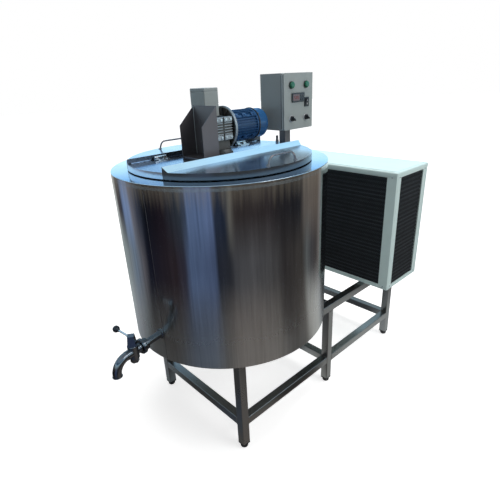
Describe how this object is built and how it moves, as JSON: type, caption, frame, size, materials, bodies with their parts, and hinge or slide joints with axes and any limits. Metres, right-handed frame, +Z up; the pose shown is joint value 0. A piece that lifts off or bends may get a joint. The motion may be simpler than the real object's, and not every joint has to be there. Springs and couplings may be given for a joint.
{
  "type": "bulk milk tank",
  "caption": "Upright insulated stainless milk cooling tank with hinged half lids, geared agitator, control box, drain valve and condensing unit on a tube stand.",
  "frame": {"origin": "centre of the footprint on the floor", "axes": "+Z up, +X from the tank towards the condensing unit, -Y the side with the near lid and the control panel"},
  "size_m": [1.7187, 0.9416, 1.592],
  "materials": {
    "stainless": "brushed and polished stainless steel",
    "cast_aluminium": "as-cast aluminium",
    "motor_blue": "satin blue paint",
    "enclosure_grey": "light grey powder coat",
    "cabinet_white": "off-white powder coat",
    "grille_black": "black painted mesh",
    "compressor_black": "gloss black paint",
    "black_plastic": "black moulded plastic",
    "green_lens": "green translucent lens",
    "foam": "rigid polyurethane foam",
    "copper": "drawn copper tube",
    "fin_aluminium": "fin pack"
  },
  "bodies": {
    "tank": {"near_side_frame": "stainless", "far_side_frame": "stainless", "upper_cross_rail_1": "stainless", "upper_cross_rail_2": "stainless", "upper_cross_rail_3": "stainless", "lower_cross_rail_1": "stainless", "lower_cross_rail_2": "stainless", "lower_cross_rail_3": "stainless", "outer_shell": "stainless", "inner_vessel": "stainless", "bridge": "stainless", "near_left_hinge": "stainless", "near_right_hinge": "stainless", "far_left_hinge": "stainless", "far_right_hinge": "stainless", "motor_bracket": "stainless", "control_post": "stainless", "outlet_pipe": "stainless", "union_nut": "stainless", "valve_body": "stainless", "gearbox_housing": "cast_aluminium", "motor_housing": "motor_blue", "fan_cowl": "motor_blue", "junction_box": "enclosure_grey", "control_box": "enclosure_grey", "cabinet_base": "cabinet_white", "cabinet_top": "cabinet_white", "left_grille": "grille_black", "right_grille": "grille_black", "near_grille": "grille_black", "far_grille": "grille_black", "compressor": "compressor_black", "fan_motor": "compressor_black", "foot_1": "black_plastic", "foot_2": "black_plastic", "foot_3": "black_plastic", "foot_4": "black_plastic", "foot_5": "black_plastic", "foot_6": "black_plastic", "insulation": "foam", "evaporator_coil": "copper", "suction_line": "copper", "condenser_coil": "fin_aluminium"},
    "near_lid": {"near_lid": "stainless", "near_lid_handle": "stainless"},
    "far_lid": {"far_lid": "stainless", "far_lid_handle": "stainless"},
    "motor_rotor": {"motor_rotor": "stainless"},
    "agitator": {"agitator": "stainless"},
    "condenser_fan": {"condenser_fan": "black_plastic"},
    "drain_valve": {"valve_handle": "stainless", "lever_knob": "black_plastic"},
    "control_door": {"control_door": "enclosure_grey", "left_lamp": "green_lens", "right_lamp": "green_lens", "controller": "black_plastic", "rocker_bezel": "black_plastic"},
    "power_rocker": {"power_rocker": "black_plastic"},
    "left_selector": {"left_selector": "black_plastic"},
    "right_selector": {"right_selector": "black_plastic"}
  },
  "joints": [
    {"name": "near_lid_hinge", "type": "hinge", "parent": "tank", "child": "near_lid", "pos_m": [-0.16261, -0.11015, 1.2905], "axis": [-1, 0, 0], "range_deg": [0, 95]},
    {"name": "far_lid_hinge", "type": "hinge", "parent": "tank", "child": "far_lid", "pos_m": [-0.16261, 0.12385, 1.2905], "axis": [1, 0, 0], "range_deg": [0, 85]},
    {"name": "motor_spin", "type": "hinge", "parent": "tank", "child": "motor_rotor", "pos_m": [-0.16261, 0.02685, 1.386], "axis": [1, 0, 0], "continuous": true},
    {"name": "agitator_spin", "type": "hinge", "parent": "tank", "child": "agitator", "pos_m": [-0.16261, -0.01315, 1.386], "axis": [0, 0, 1], "continuous": true},
    {"name": "condenser_fan_spin", "type": "hinge", "parent": "tank", "child": "condenser_fan", "pos_m": [0.72239, 0.10685, 0.8], "axis": [1, 0, 0], "continuous": true},
    {"name": "drain_valve_turn", "type": "hinge", "parent": "tank", "child": "drain_valve", "pos_m": [-0.75649, -0.10859, 0.62], "axis": [0, 0, 1], "range_deg": [0, 90]},
    {"name": "control_door_hinge", "type": "hinge", "parent": "tank", "child": "control_door", "pos_m": [0.34689, -0.08365, 1.347], "axis": [0, 0, 1], "range_deg": [0, 110]},
    {"name": "power_rocker_tilt", "type": "hinge", "parent": "control_door", "child": "power_rocker", "pos_m": [0.29839, -0.09475, 1.4645], "axis": [-1, 0, 0], "range_deg": [0, 16]},
    {"name": "left_selector_turn", "type": "hinge", "parent": "control_door", "child": "left_selector", "pos_m": [0.19189, -0.09475, 1.397], "axis": [0, -1, 0], "range_deg": [0, 90]},
    {"name": "right_selector_turn", "type": "hinge", "parent": "control_door", "child": "right_selector", "pos_m": [0.29289, -0.09475, 1.397], "axis": [0, -1, 0], "range_deg": [0, 90]}
  ],
  "couplings": [
    {"joint": "agitator_spin", "follows": "motor_spin", "ratio": 0.02}
  ]
}
